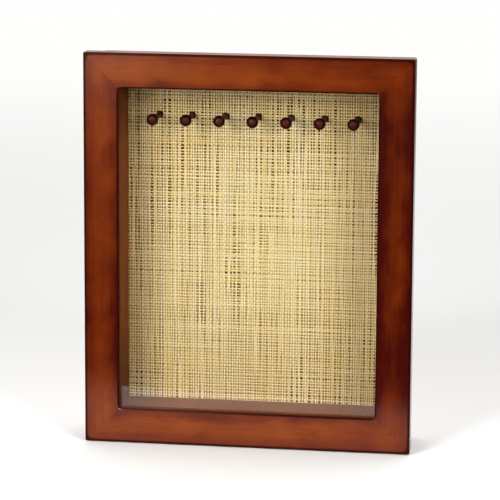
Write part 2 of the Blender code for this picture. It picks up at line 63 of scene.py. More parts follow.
# ------------------------------------------------------------------ material helper
class Shade:
    """Builds one material's nodes, one call each."""

    def __init__(self, name):
        self.material = bpy.data.materials.new(name)
        self.material.use_nodes = True
        self.tree = self.material.node_tree
        self.tree.nodes.clear()
        self.out = self.tree.nodes.new("ShaderNodeOutputMaterial")
        self.shader = self.tree.nodes.new("ShaderNodeBsdfPrincipled")
        self.tree.links.new(self.shader.outputs[0], self.out.inputs[0])
        self.coords = self.tree.nodes.new("ShaderNodeTexCoord")

    def put(self, socket, value):
        if isinstance(value, bpy.types.NodeSocket):
            self.tree.links.new(value, socket)
        elif isinstance(value, tuple) and len(value) == 3 and socket.type == "RGBA":
            socket.default_value = (*value, 1.0)
        else:
            socket.default_value = value

    def add(self, kind, inputs=None, **settings):
        made = self.tree.nodes.new("ShaderNode" + kind)
        for key, value in settings.items():
            setattr(made, key, value)
        for key, value in (inputs or {}).items():
            self.put(made.inputs[key], value)
        return made

    def set(self, **values):
        for key, value in values.items():
            self.put(self.shader.inputs[key.replace("_", " ")], value)
        return self

    def here(self):
        return self.coords.outputs["Object"]

    def stretched(self, scale, turn=(0, 0, 0), shift=(0, 0, 0), vector=None):
        made = self.add("Mapping", {"Vector": vector or self.here(), "Location": shift, "Rotation": turn, "Scale": scale})
        return made.outputs[0]

    def noise(self, vector, scale=1.0, detail=2.0, roughness=0.5, distortion=0.0):
        made = self.add(
            "TexNoise",
            {"Vector": vector, "Scale": scale, "Detail": detail, "Roughness": roughness, "Distortion": distortion},
        )
        return made.outputs["Fac"]

    def maths(self, operation, a, b=None, c=None, clamp=False):
        made = self.add("Math", operation=operation, use_clamp=clamp)
        for i, value in enumerate((a, b, c)):
            if value is not None:
                self.put(made.inputs[i], value)
        return made.outputs[0]

    def span(self, value, low, high, to_low=0.0, to_high=1.0, smooth=True):
        made = self.add("MapRange", interpolation_type="SMOOTHSTEP" if smooth else "LINEAR")
        for key, v in (("Value", value), ("From Min", low), ("From Max", high), ("To Min", to_low), ("To Max", to_high)):
            self.put(made.inputs[key], v)
        return made.outputs[0]

    def mix(self, factor, a, b, blend="MIX"):
        made = self.add("Mix", data_type="RGBA", blend_type=blend)
        self.put(made.inputs[0], factor)
        self.put(made.inputs[6], a)
        self.put(made.inputs[7], b)
        return made.outputs[2]

    def ramp(self, factor, *stops):
        made = self.add("ValToRGB", {"Fac": factor})
        band = made.color_ramp
        while len(band.elements) < len(stops):
            band.elements.new(0.5)
        for element, (place, colour) in zip(band.elements, stops):
            element.position, element.color = place, (*colour, 1.0)
        return made.outputs[0]

    def axes(self, vector=None):
        made = self.add("SeparateXYZ", {"Vector": vector or self.here()})
        return made.outputs

    def bump(self, height, strength=1.0, distance=0.001):
        made = self.add("Bump", {"Height": height, "Strength": strength, "Distance": distance})
        return made.outputs[0]


# ------------------------------------------------------------------ stained and lacquered wood
GRAIN_TURN = {"X": (0, 0, 0), "Z": (0, math.radians(90), 0), "Y": (0, 0, math.radians(90))}


def grain_vector(shade, along, shift, distort=True):
    """Object coordinates turned so that local X runs with the grain, and shifted."""
    x, y, z = shade.axes()
    order = {"X": (x, y, z), "Z": (z, y, x), "Y": (y, x, z)}[along]
    joined = shade.add("CombineXYZ", {"X": order[0], "Y": order[1], "Z": order[2]}).outputs[0]
    return shade.stretched((1, 1, 1), shift=shift, vector=joined)


def stained_wood(
    name, along, shift, stain, tone="frame", level0=0.4, sheen_slope=0.0, corner=0.0, steps=(), roughness=0.5, coat=0.5,
    gloss=0.16, streak=0.24,
):
    """Fine-grained hardwood under a toned, satin lacquer: darker and redder at the edges, more orange in the middle of
    the face, in soft blotches, with fine streaks and short pores along the grain. level0 is how light the piece is.
    slope is painted sheen, how much lighter the piece gets towards +X, and corner is painted sheen, how much lighter a
    stile gets towards its ends. Each of steps is two heights and how much lighter the piece gets between them."""
    s = Shade(name)
    g = grain_vector(s, along, shift)
    blotch = s.noise(s.stretched((15, 24, 24), vector=g), detail=2.5, roughness=0.55, distortion=0.35)
    cloud = s.noise(s.stretched((34, 52, 52), vector=g), detail=2.0, roughness=0.5, distortion=0.2)
    figure = s.noise(s.stretched((14, 330, 330), vector=g), detail=3.0, roughness=0.6)
    fibre = s.noise(s.stretched((60, 1500, 1500), vector=g), detail=2.0, roughness=0.6)
    pores = s.noise(s.stretched((170, 2300, 2300), vector=g), detail=1.0, roughness=0.5)
    pore = s.span(pores, 0.66, 0.76)
    x, y, z = s.axes()
    # Painted sheen: the piece is painted lighter or darker along X.
    level = s.maths("MULTIPLY_ADD", x, sheen_slope, level0)
    level = s.maths("MULTIPLY_ADD", s.maths("SUBTRACT", blotch, 0.5), 0.60, level)
    level = s.maths("MULTIPLY_ADD", s.maths("SUBTRACT", cloud, 0.5), 0.52, level)
    if tone == "frame":
        across = s.maths("SUBTRACT", s.maths("ABSOLUTE", x), x_sight)
        up = s.maths("SUBTRACT", s.maths("ABSOLUTE", s.maths("SUBTRACT", z, z_middle)), z_sight)
        place = s.maths("DIVIDE", s.maths("SMOOTH_MAX", across, up, 0.012), face)
        waver = s.maths("MULTIPLY_ADD", s.maths("SUBTRACT", blotch, 0.5), 0.45, place)
        middle = s.maths("MULTIPLY", s.span(waver, -0.02, 0.42), s.span(waver, 1.13, 0.54))
        level = s.maths("MULTIPLY_ADD", s.maths("SUBTRACT", middle, 0.72), 0.34, level)
        # Painted sheen: a stile is painted lighter towards its ends.
        level = s.maths("MULTIPLY_ADD", s.span(up, -0.070, 0.030), corner, level)
        for low, high, amount in steps:
            level = s.maths("MULTIPLY_ADD", s.span(z, low, high), amount, level)
        depth = s.maths("SUBTRACT", y, front_face)
        # Painted shade on the front arrises, at the outer edge and at the sight edge.
        arris = s.maths("MULTIPLY", s.span(place, 0.900, 0.955), s.span(depth, 0.0026, 0.0012))
        sight = s.maths("MULTIPLY", s.span(place, 0.068, 0.034), s.span(depth, 0.0034, 0.0018))
        arris_shade = s.maths("MAXIMUM", arris, sight)
        # Painted light: the outer edges are painted lighter, the top edge most.
        flank = s.maths("MULTIPLY", s.span(place, 0.960, 0.990), s.span(depth, 0.0012, 0.0026))
        top = s.span(s.maths("SUBTRACT", z, z_middle), z_half - 0.0012, z_half - 0.0003)
        level = s.maths("MULTIPLY_ADD", flank, s.maths("MULTIPLY_ADD", top, 0.35, 0.15), level)
    elif along == "Z":
        # Painted shade: the case walls are painted darker towards their top and bottom.
        level = s.maths("MULTIPLY_ADD", s.span(s.maths("ABSOLUTE", s.maths("SUBTRACT", z, 0.22)), 0.06, 0.17), -0.30, level)
    level = s.maths("MULTIPLY_ADD", s.maths("SUBTRACT", figure, 0.5), streak * 1.4, level)
    level = s.maths("MULTIPLY_ADD", s.maths("SUBTRACT", fibre, 0.5), streak, level, clamp=True)
    deep = stain[0]
    colour = s.ramp(level, (0.0, deep), (0.5, stain[1]), (1.0, stain[2]))
    colour = s.mix(s.maths("MULTIPLY", pore, 0.40), colour, tuple(c * 0.4 for c in deep))
    if tone == "frame":
        # Painted shade: the arrises are painted dark, and their coat is dulled below so they catch no highlight.
        colour = s.mix(s.maths("MULTIPLY", arris_shade, 0.85), colour, tuple(c * 0.45 for c in deep))
        # Painted light: the top edge is painted much paler than the face, as if lit from above; the side edges only a
        # little.
        pale = s.maths("MULTIPLY", flank, s.maths("MULTIPLY_ADD", top, 0.62, 0.06))
        patches = s.maths("MULTIPLY_ADD", cloud, 0.45, s.maths("MULTIPLY_ADD", figure, 0.45, s.maths("MULTIPLY", fibre, 0.25)))
        patches = s.mix(s.span(patches, 0.38, 0.74), (0.26, 0.056, 0.010), (0.68, 0.255, 0.080))
        colour = s.mix(pale, colour, patches)
        dull = s.maths("MAXIMUM", arris_shade, s.span(place, 0.040, 0.012))
        coat = s.maths("MULTIPLY_ADD", dull, -0.85 * coat, s.maths("MULTIPLY_ADD", flank, 1.0 - coat, coat))
    # End grain drinks more stain.
    nx, ny, nz = s.axes(s.coords.outputs["Normal"])
    end = s.maths("ABSOLUTE", {"X": nx, "Y": ny, "Z": nz}[along])
    colour = s.mix(s.maths("MULTIPLY", s.span(end, 0.8, 1.0), 0.55), colour, tuple(c * 0.6 for c in deep))
    rough = s.maths("MULTIPLY_ADD", s.maths("SUBTRACT", cloud, 0.5), 0.16, roughness)
    rough = s.maths("MULTIPLY_ADD", pore, 0.12, rough)
    height = s.maths("MULTIPLY_ADD", pore, -0.6, s.maths("MULTIPLY", fibre, 0.5))
    s.set(Base_Color=colour, Roughness=rough, Normal=s.bump(height, 0.20, 0.00012))
    s.set(Specular_IOR_Level=0.02, Coat_Weight=coat, Coat_Roughness=gloss, IOR=1.5)
    return s.material


STAIN = ((0.036, 0.0013, 0.0001), (0.117, 0.0152, 0.0003), (0.212, 0.0415, 0.0010))
CASE_STAIN = ((0.060, 0.0070, 0.0004), (0.175, 0.0330, 0.0020), (0.300, 0.0800, 0.0080))
wood = {
    "door_rail_top": stained_wood("stained_rail_top", "X", (0.31, 0.2, 0.7), STAIN, level0=0.50, sheen_slope=-0.9),
    "door_rail_bottom": stained_wood("stained_rail_bottom", "X", (1.73, 0.9, 0.1), STAIN, level0=0.53, sheen_slope=-0.2),
    "door_stile_left": stained_wood("stained_stile_left", "Z", (0.83, 0.4, 1.9), STAIN, level0=0.25, corner=0.24, steps=((0.10, 0.34, 0.15), (0.35, 0.40, -0.06))),
    "door_stile_right": stained_wood("stained_stile_right", "Z", (2.41, 1.6, 0.3), STAIN, level0=-0.10, corner=0.50, steps=((0.085, 0.20, 0.31), (0.30, 0.36, -0.31))),
    "case_left": stained_wood("stained_case_left", "Z", (3.1, 0.7, 0.2), CASE_STAIN, tone="case", level0=0.5, coat=0.24),
    "case_right": stained_wood("stained_case_right", "Z", (4.2, 0.3, 1.1), CASE_STAIN, tone="case", level0=0.5, coat=0.24),
    "case_bottom": stained_wood("stained_case_bottom", "X", (5.3, 1.2, 0.6), CASE_STAIN, tone="case", level0=0.5, coat=0.24),
    "case_top": stained_wood("stained_case_top", "X", (6.4, 0.1, 1.4), CASE_STAIN, tone="case", level0=0.5, coat=0.24),
}
for name, along in (("left", "Z"), ("right", "Z"), ("bottom", "X"), ("top", "X")):
    wood["glass_stop_" + name] = stained_wood(
        "stained_stop_" + name, along, (7.5, 0.4, 0.8), CASE_STAIN, tone="case", coat=0.24, streak=0.35
    )
MITRE_WOOD = stained_wood("stained_mitre", "Z", (8.6, 0.9, 0.5), STAIN, level0=0.40)


# ------------------------------------------------------------------ birch plywood back
def birch_ply():
    s = Shade("birch_plywood")
    g = s.here()
    x, y, z = s.axes()
    turned = s.add("CombineXYZ", {"X": z, "Y": x, "Z": y}).outputs[0]
    flame = s.noise(s.stretched((5, 34, 34), vector=turned), detail=3.0, roughness=0.55, distortion=0.9)
    lines = s.add(
        "TexWave",
        {
            "Vector": s.stretched((2.2, 26, 26), vector=turned),
            "Scale": 1.0,
            "Distortion": 11.0,
            "Detail": 2.5,
            "Detail Scale": 0.9,
        },
        wave_type="BANDS",
        bands_direction="Y",
    ).outputs["Fac"]
    fibre = s.noise(s.stretched((45, 1300, 1300), vector=turned), detail=2.0, roughness=0.65)
    fleck = s.span(s.noise(s.stretched((240, 1700, 1700), vector=turned), detail=1.0), 0.68, 0.78)
    face_tone = s.maths("MULTIPLY_ADD", lines, 0.16, s.maths("MULTIPLY_ADD", flame, 0.75, s.maths("MULTIPLY", fibre, 0.3)))
    colour = s.ramp(face_tone, (0.2, (0.40, 0.24, 0.115)), (0.62, (0.60, 0.41, 0.225)), (0.95, (0.70, 0.52, 0.31)))
    colour = s.mix(s.maths("MULTIPLY", fleck, 0.4), colour, (0.30, 0.16, 0.07))
    # The edges show the plies.
    ply = s.maths("FRACT", s.maths("MULTIPLY", y, 1 / 0.003))
    dark_ply = s.span(s.maths("ABSOLUTE", s.maths("SUBTRACT", ply, 0.5)), 0.22, 0.28)
    nx, ny, nz = s.axes(s.coords.outputs["Normal"])
    side = s.span(s.maths("ABSOLUTE", ny), 0.7, 0.3)
    edge_colour = s.mix(dark_ply, (0.50, 0.32, 0.16), (0.22, 0.115, 0.05))
    colour = s.mix(side, colour, edge_colour)
    s.set(Base_Color=colour, Roughness=s.maths("MULTIPLY_ADD", fibre, 0.2, 0.52))
    s.set(Normal=s.bump(s.maths("MULTIPLY_ADD", fleck, -0.5, fibre), 0.3, 0.0002))
    return s.material


# ------------------------------------------------------------------ metals and plastics
def metal(name, light, dark, roughness, brushed="Z", scratch=0.12, tarnish=0.35):
    s = Shade(name)
    g = s.here()
    cloud = s.noise(s.stretched((160, 160, 160)), detail=3.0, roughness=0.6)
    stretch = {"Z": (2600, 2600, 90), "X": (90, 2600, 2600), "Y": (2600, 90, 2600), "O": (1500, 1500, 1500)}[brushed]
    line = s.noise(s.stretched(stretch), detail=1.5, roughness=0.5)
    spot = s.span(s.noise(s.stretched((620, 620, 620)), detail=2.0), 0.60, 0.74)
    patches = s.maths("MULTIPLY_ADD", s.maths("SUBTRACT", cloud, 0.45), 2.2, s.maths("MULTIPLY", spot, tarnish), clamp=True)
    colour = s.mix(s.maths("MULTIPLY", patches, tarnish), light, dark)
    rough = s.maths("MULTIPLY_ADD", line, scratch, s.maths("MULTIPLY_ADD", patches, 0.14, roughness - 0.08))
    s.set(Base_Color=colour, Metallic=1.0, Roughness=rough, Normal=s.bump(line, 0.18, 0.00003))
    return s.material


def soft_dot():
    s = Shade("clear_bumper")
    haze = s.noise(s.stretched((900, 900, 900)), detail=2.0)
    s.set(Base_Color=s.mix(haze, (0.86, 0.87, 0.85), (0.70, 0.71, 0.69)), Roughness=s.maths("MULTIPLY_ADD", haze, 0.2, 0.25))
    s.set(Subsurface_Weight=0.35, Subsurface_Radius=(0.0012, 0.0012, 0.0011), IOR=1.45)
    return s.material


def pane():
    """Clear float glass: it mirrors and bends, and lamps reach what is behind it."""
    s = Shade("clear_float_glass")
    s.set(Base_Color=(0.97, 0.985, 0.975), Roughness=0.0, IOR=1.46)
    s.set(Transmission_Weight=1.0)
    smear = s.noise(s.stretched((22, 22, 9), turn=(0, 0.5, 0)), detail=3.0, roughness=0.6)
    s.set(Normal=s.bump(smear, 0.02, 0.0004))
    path = s.add("LightPath")
    through = s.maths("MAXIMUM", path.outputs["Is Shadow Ray"], path.outputs["Is Diffuse Ray"])
    clear = s.add("BsdfTransparent", {"Color": (0.94, 0.96, 0.95)})
    both = s.add("MixShader", {0: through, 1: s.shader.outputs[0], 2: clear.outputs[0]})
    s.tree.links.new(both.outputs[0], s.out.inputs[0])
    return s.material


BRASS = metal("aged_brass", (0.72, 0.52, 0.22), (0.33, 0.20, 0.07), 0.30, "Z")
BRASS_SCREW = metal("brass_screw", (0.76, 0.56, 0.25), (0.30, 0.18, 0.06), 0.26, "O")
ZINC = metal("zinc_plate", (0.66, 0.67, 0.68), (0.36, 0.37, 0.38), 0.34, "Z")
ZINC_SCREW = metal("zinc_screw", (0.70, 0.71, 0.71), (0.34, 0.34, 0.33), 0.28, "O")
NICKEL = metal("nickel_magnet", (0.66, 0.64, 0.60), (0.36, 0.34, 0.31), 0.20, "O", scratch=0.05)
PLY = birch_ply()
GLASS = pane()
DOT = soft_dot()


def finish_of(name):
    if name in wood:
        return wood[name]
    if name == "back_panel":
        return PLY
    if name == "glass_pane":
        return GLASS
    if name.startswith("door_bumper"):
        return DOT
    if name == "catch_magnet":
        return NICKEL
    if name.startswith(("panel_screw", "hanger_screw", "catch_strike_screw")):
        return ZINC_SCREW
    if name.startswith(("hanger_plate", "catch_strike")):
        return ZINC
    if "leaf_screw" in name:
        return BRASS_SCREW
    if name.startswith("hinge_"):
        return BRASS
    return None


for name, node in nodes.items():
    finish = finish_of(name)
    if finish is not None:
        for slot in node.material_slots:
            slot.material = finish


# ------------------------------------------------------------------ new meshes
def mesh_piece(name, points, faces, material, smooth=True, values=None):
    mesh = bpy.data.meshes.new(name)
    mesh.from_pydata([tuple(p) for p in points], [], [tuple(f) for f in faces])
    mesh.update()
    if smooth:
        mesh.shade_smooth()
    mesh.materials.append(material)
    for key, numbers in (values or {}).items():
        attribute = mesh.attributes.new(key, "FLOAT", "POINT")
        attribute.data.foreach_set("value", np.asarray(numbers, np.float32))
    obj = bpy.data.objects.new(name, mesh)
    scene.collection.objects.link(obj)
    return obj


# ---------------------------------------- pegs: turned, stained dark, lacquered
def peg_finish(number, ax, az, head_r):
    s = Shade(f"peg_mahogany_{number}")
    x, y, z = s.axes()
    off_x, off_z = s.maths("SUBTRACT", x, ax), s.maths("SUBTRACT", z, az)
    radius = s.maths("SQRT", s.maths("ADD", s.maths("MULTIPLY", off_x, off_x), s.maths("MULTIPLY", off_z, off_z)))
    g = s.stretched((1, 1, 1), shift=(0.13 * number, 0.0, 0.07 * number))
    figure = s.noise(s.stretched((420, 30, 420), vector=g), detail=3.0, roughness=0.6)
    cloud = s.noise(s.stretched((120, 60, 120), vector=g), detail=2.0)
    level = s.maths("MULTIPLY_ADD", s.maths("SUBTRACT", figure, 0.5), 1.2, s.maths("MULTIPLY_ADD", cloud, 0.5, 0.12), clamp=True)
    colour = s.mix(level, (0.024, 0.0020, 0.0006), (0.100, 0.0098, 0.0030))
    # Painted shade: the head is painted darker towards its edge.
    rim_shade = s.span(radius, head_r * 0.40, head_r * 0.78)
    colour = s.mix(s.maths("MULTIPLY", rim_shade, 0.96), colour, (0.008, 0.0008, 0.0002))
    s.set(Base_Color=colour, Roughness=s.maths("MULTIPLY_ADD", cloud, 0.12, 0.46))
    s.set(Specular_IOR_Level=0.03, Coat_Weight=0.10, Coat_Roughness=0.32, IOR=1.5)
    s.set(Normal=s.bump(figure, 0.15, 0.0001))
    return s.material


def peg_outline(reach, head_r, half, neck_r, foot_r, tenon_r, tenon_l):
    """(radius, height above the raffia) from the crown to the end of the tenon, with a flattened crown, a cove under
    the head, a slim neck and a flared foot."""
    line = [(0.0, reach + half)]
    for i in range(1, 15):
        a = math.radians(146 * i / 14)
        line.append((head_r * math.sin(a) ** 0.92 if a < math.pi else 0.0, reach + half * math.cos(a)))
    top = line[-1]
    for i in range(1, 6):  # cove into the neck
        t = i / 5
        line.append((top[0] + (neck_r - top[0]) * math.sin(t * math.pi / 2), top[1] - 3.2 * MM * t))
    start = line[-1][1]
    for i in range(1, 11):
        t = i / 10
        z = start + (3.0 * MM - start) * t
        line.append((neck_r + (foot_r - 0.7 * MM - neck_r) * t**2.2, z))
    line += [
        (foot_r - 0.25 * MM, 2.4 * MM),
        (foot_r - 0.05 * MM, 1.9 * MM),
        (foot_r, 1.3 * MM),
        (foot_r, 0.45 * MM),
        (foot_r - 0.15 * MM, 0.3 * MM),
        (tenon_r, 0.3 * MM),
        (tenon_r, -tenon_l + 0.6 * MM),
        (tenon_r - 0.6 * MM, -tenon_l),
        (0.0, -tenon_l),
    ]
    return line


def lathe(name, outline, x, y, z, material, steps=40):
    """A closed turned mesh about an axis that points to -Y."""
    points, faces, rings = [], [], []
    for r, h in outline:
        if r <= 1e-9:
            rings.append([len(points)])
            points.append((x, y - h, z))
        else:
            rings.append(list(range(len(points), len(points) + steps)))
            for k in range(steps):
                a = 2 * math.pi * k / steps
                points.append((x + r * math.cos(a), y - h, z + r * math.sin(a)))
    for upper, lower in zip(rings, rings[1:]):
        for k in range(steps):
            n = (k + 1) % steps
            if len(upper) == 1:
                faces.append((upper[0], lower[k], lower[n]))
            elif len(lower) == 1:
                faces.append((upper[k], lower[0], upper[n]))
            else:
                faces.append((upper[k], lower[k], lower[n], upper[n]))
    obj = mesh_piece(name, points, faces, material)
    obj.data.set_sharp_from_angle(angle=math.radians(50))
    return obj


peg_axes = []
for number, node in enumerate(peg_names, 1):
    low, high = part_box(node)
    x, z = (low.x + high.x) / 2, (low.z + high.z) / 2
    peg_axes.append((x, z))
    half = 5.2 * MM
    reach = raffia_low.y - low.y - half
    tenon = high.y - raffia_low.y
    outline = peg_outline(reach, (high.z - low.z) / 2, half, 2.5 * MM, 3.75 * MM, 3.0 * MM, tenon)
    peg = lathe(f"turned_{node}", outline, x, raffia_low.y, z, peg_finish(number, x, z, (high.z - low.z) / 2))
    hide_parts(node)
    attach(peg, "case")


# ---------------------------------------- raffia: flat strands, plain weave, over a dark paper backing
def raffia_finish(name, along):
    s = Shade(name)
    x, y, z = s.axes()
    order = (z, x) if along == "Z" else (x, z)
    v = s.add("CombineXYZ", {"X": order[0], "Y": order[1], "Z": y}).outputs[0]
    tone = s.add("Attribute", attribute_name="strand_tone", attribute_type="GEOMETRY").outputs["Fac"]
    strand_shade = s.add("Attribute", attribute_name="strand_painted_shade", attribute_type="GEOMETRY").outputs["Fac"]
    fibre = s.noise(s.stretched((70, 2600, 2600), vector=v), detail=2.0, roughness=0.65)
    slow = s.noise(s.stretched((28, 300, 300), vector=v), detail=2.0)
    patch = s.noise(s.stretched((11, 14, 14), vector=v), detail=2.5, roughness=0.55)
    level = s.maths("MULTIPLY_ADD", s.maths("SUBTRACT", fibre, 0.5), 0.5, tone)
    level = s.maths("MULTIPLY_ADD", s.maths("SUBTRACT", slow, 0.5), 0.45, level)
    level = s.maths("MULTIPLY_ADD", s.maths("SUBTRACT", patch, 0.5), 0.4, level, clamp=True)
    colour = s.ramp(
        level,
        (0.0, (0.60, 0.325, 0.072)),
        (0.35, (0.89, 0.630, 0.262)),
        (0.65, (0.98, 0.785, 0.445)),
        (1.0, (0.99, 0.920, 0.730)),
    )
    # Painted shade: a strand is painted darker at its edges and where it dives under the next one.
    colour = s.mix(s.maths("MULTIPLY", s.span(strand_shade, 0.95, 0.25), 0.62), colour, (0.64, 0.350, 0.060))
    colour = s.mix(s.span(strand_shade, 0.55, 0.0), colour, (0.30, 0.095, 0.005))
    s.set(Base_Color=colour, Roughness=s.maths("MULTIPLY_ADD", fibre, 0.25, 0.42))
    s.set(Normal=s.bump(fibre, 0.35, 0.00015), IOR=1.45, Specular_IOR_Level=0.05)
    s.set(Sheen_Weight=0.03, Sheen_Roughness=0.4, Sheen_Tint=(0.95, 0.80, 0.50))
    return s.material


rng = np.random.default_rng(41)


def smooth_walk(n, step, keep):
    """n numbers that wander slowly about 0, with standard deviation step. keep is how much each holds of the last."""
    out = np.zeros(n)
    push = rng.normal(0, step * math.sqrt(1 - keep * keep), n)
    out[0] = rng.normal(0, step)
    for i in range(1, n):
        out[i] = out[i - 1] * keep + push[i]
    return out


def centres(low, high, count, loose):
    """Strand centres between two edges, at uneven pitch."""
    gaps = np.clip(rng.normal(1, loose, count), 0.74, 1.35)
    at = np.concatenate(([0.0], np.cumsum((gaps[1:] + gaps[:-1]) / 2))) + gaps[0] / 2
    return low + at / (at[-1] + gaps[-1] / 2) * (high - low), gaps


weave_x = (raffia_low.x, raffia_high.x)
weave_z = (raffia_low.z, raffia_high.z)
WARPS, WEFTS = 108, 111
warp_x, warp_gap = centres(*weave_x, WARPS, 0.11)
weft_z, weft_gap = centres(*weave_z, WEFTS, 0.07)
weave_y = raffia_low.y + 0.24 * MM
LIFT, CROWN, LIP = 0.15 * MM, 0.15 * MM, 0.04 * MM
TENON_CLEAR = 3.3 * MM


def close_weave(x, z):
    """1 where the cloth is densest, in its middle, falling to 0 near its edges."""
    return math.exp(-(((x - 0.02) / 0.10) ** 2) - ((z - 0.215) / 0.11) ** 2)


def strands(along, own, own_gap, cross, bounds_across, bounds_along, parity, cover, gapes, tones, painted_shade_span):
    """Flat strands as closed ribbons with a crowned face: points, faces, and each point's tone and painted shade.
    Strand i passes over crossing j if (i + j + parity) is even. gapes is how many places have two strands pulled
    apart.
    painted_shade_span is how light the painted shade leaves the edge and the crown where a strand dives, and where it
    is on top.
    The densest cloth is painted lighter."""
    points, faces, tone_of, painted_shade_of = [], [], [], []
    pitch = (bounds_across[1] - bounds_across[0]) / len(own)
    # Stations: each crossing, and half way between two.
    half_way = (cross[1:] + cross[:-1]) / 2
    stations = np.sort(np.concatenate(([bounds_along[0]], cross, half_way, [bounds_along[1]])))
    n = len(stations)
    drifts = np.array([smooth_walk(n, 0.085 * pitch, 0.985) + smooth_walk(n, 0.02 * pitch, 0.7) for _ in own])
    narrows = np.array([smooth_walk(n, 0.09, 0.97) for _ in own])
    for _ in range(gapes):
        i = int(rng.integers(0, len(own) - 1))
        s0 = rng.uniform(*bounds_along)
        length = rng.uniform(0.010, 0.055)
        open_by = rng.uniform(0.08, 0.26) * pitch
        hill = np.exp(-(((stations - s0) / length) ** 4))
        drifts[i] -= open_by * hill
        drifts[i + 1] += open_by * hill
        narrows[i] -= 0.10 * hill
        narrows[i + 1] -= 0.10 * hill
    for i, middle in enumerate(own):
        drift, narrow = drifts[i], narrows[i]
        base = cover * own_gap[i] * (1 + rng.normal(0, 0.05))
        if rng.random() < 0.10:
            base *= 0.86
        close = np.array([close_weave(middle, s) if along == "Z" else close_weave(s, middle) for s in stations])
        width = np.clip(base + narrow + 0.10 * close, 0.52, 1.0 * own_gap[i]) * pitch
        height = np.zeros(n)
        over = np.full(n, 0.5)
        for j, c in enumerate(cross):
            k = int(np.searchsorted(stations, c))
            up = (i + j + parity) % 2 == 0
            height[k] = -LIFT if up else LIFT
            over[k] = 1.0 if up else 0.0
        height[0], height[-1] = height[1] * 0.5, height[-2] * 0.5
        centre = np.clip(middle + drift, bounds_across[0] + width / 2, bounds_across[1] - width / 2)
        # Runs of stations, broken where a peg's tenon passes through.
        runs, run = [], []
        for k in range(n):
            s = stations[k]
            px_pz = (centre[k], s) if along == "Z" else (s, centre[k])
            if any(math.hypot(px_pz[0] - ax, px_pz[1] - az) < TENON_CLEAR for ax, az in peg_axes):
                if len(run) > 1:
                    runs.append(run)
                run = []
            else:
                run.append((s, centre[k], width[k], height[k], over[k], close[k]))
        if len(run) > 1:
            runs.append(run)
        for run in runs:
            first = len(points)
            for s, c, w, h, o, q in run:
                y = weave_y + h
                for across, depth, edge in ((c - w / 2, LIP, 1), (c, -CROWN, 0), (c + w / 2, LIP, 1)):
                    points.append((across, y + depth, s) if along == "Z" else (s, y + depth, across))
                    tone_of.append(tones[i])
                    # Painted shade: edges and dives darker, the densest cloth lighter.
                    low, top = painted_shade_span[0 if edge else 1]
                    painted_shade_of.append(min(1.0, low + (top - low) * o + 0.22 * q))
            m = len(run)
            for k in range(m - 1):
                a, b = first + 3 * k, first + 3 * k + 3
                for e, f in ((0, 1), (1, 2), (2, 0)):
                    quad = (a + e, a + f, b + f, b + e)
                    faces.append(quad if along == "Z" else quad[::-1])
            last = first + 3 * (m - 1)
            caps = ((first, first + 2, first + 1), (last, last + 1, last + 2))
            for cap in caps:
                faces.append(cap if along == "Z" else cap[::-1])
    return points, faces, tone_of, painted_shade_of


warp = strands(
    "Z", warp_x, warp_gap, weft_z, weave_x, weave_z, 0, 0.640, 185,
    np.clip(rng.normal(0.62, 0.10, WARPS), 0.1, 0.95), ((0.16, 0.46), (0.64, 1.0)),
)
weft = strands(
    "X", weft_z, weft_gap, warp_x, weave_z, weave_x, 1, 0.632, 0,
    np.clip(rng.normal(0.58, 0.08, WEFTS), 0.1, 0.95), ((0.04, 0.38), (0.48, 0.96)),
)
weave = mesh_piece(
    "raffia_weave",
    warp[0] + weft[0],
    warp[1] + [tuple(v + len(warp[0]) for v in quad) for quad in weft[1]],
    raffia_finish("raffia_warp_straw", "Z"),
    values={"strand_tone": warp[2] + weft[2], "strand_painted_shade": warp[3] + weft[3]},
)
weave.data.materials.append(raffia_finish("raffia_weft_straw", "X"))
weave.data.polygons.foreach_set("material_index", np.array([0] * len(warp[1]) + [1] * len(weft[1]), np.int32))


def backing_finish():
    s = Shade("backing_paper")
    pulp = s.noise(s.stretched((700, 700, 700)), detail=3.0, roughness=0.7)
    patch = s.noise(s.stretched((20, 20, 20)), detail=2.0)
    level = s.maths("MULTIPLY_ADD", pulp, 0.5, s.maths("MULTIPLY", patch, 0.5))
    s.set(Base_Color=s.mix(level, (0.018, 0.0045, 0.0003), (0.052, 0.0150, 0.0012)), Roughness=0.8, Specular_IOR_Level=0.0)
    s.set(Normal=s.bump(pulp, 0.4, 0.0002))
    return s.material


def backing_sheet():
    """A thin paper sheet with a hole for each peg's tenon, made as one closed mesh."""
    y0, y1 = raffia_low.y + 0.44 * MM, raffia_low.y + 0.60 * MM
    bpy.ops.mesh.primitive_cube_add(size=1.0)
    sheet = bpy.context.object
    sheet.name = sheet.data.name = "raffia_backing"
    size = Vector((weave_x[1] - weave_x[0], y1 - y0, weave_z[1] - weave_z[0]))
    middle = Vector((sum(weave_x) / 2, (y0 + y1) / 2, sum(weave_z) / 2))
    sheet.data.transform(Matrix.Translation(middle) @ Matrix.Diagonal((*size, 1.0)))
    for x, z in peg_axes:
        bpy.ops.mesh.primitive_cylinder_add(vertices=24, radius=TENON_CLEAR, depth=0.01)
        cutter = bpy.context.object
        cutter.data.transform(Matrix.Translation((x, middle.y, z)) @ Matrix.Rotation(math.radians(90), 4, "X"))
        cut = sheet.modifiers.new("hole", "BOOLEAN")
        cut.object, cut.solver = cutter, "EXACT"
        bpy.context.view_layer.objects.active = sheet
        bpy.ops.object.modifier_apply(modifier=cut.name)
        bpy.data.objects.remove(cutter)
    sheet.data.materials.clear()
    sheet.data.materials.append(backing_finish())
    return sheet


backing = backing_sheet()
for piece in (weave, backing):
    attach(piece, "case")
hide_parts("raffia_panel")

# ---------------------------------------- glue and filler in the mitres of the front frame
lip_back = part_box("glass_pane")[0].y - 0.3 * MM
frame_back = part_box("door_rail_top")[1].y


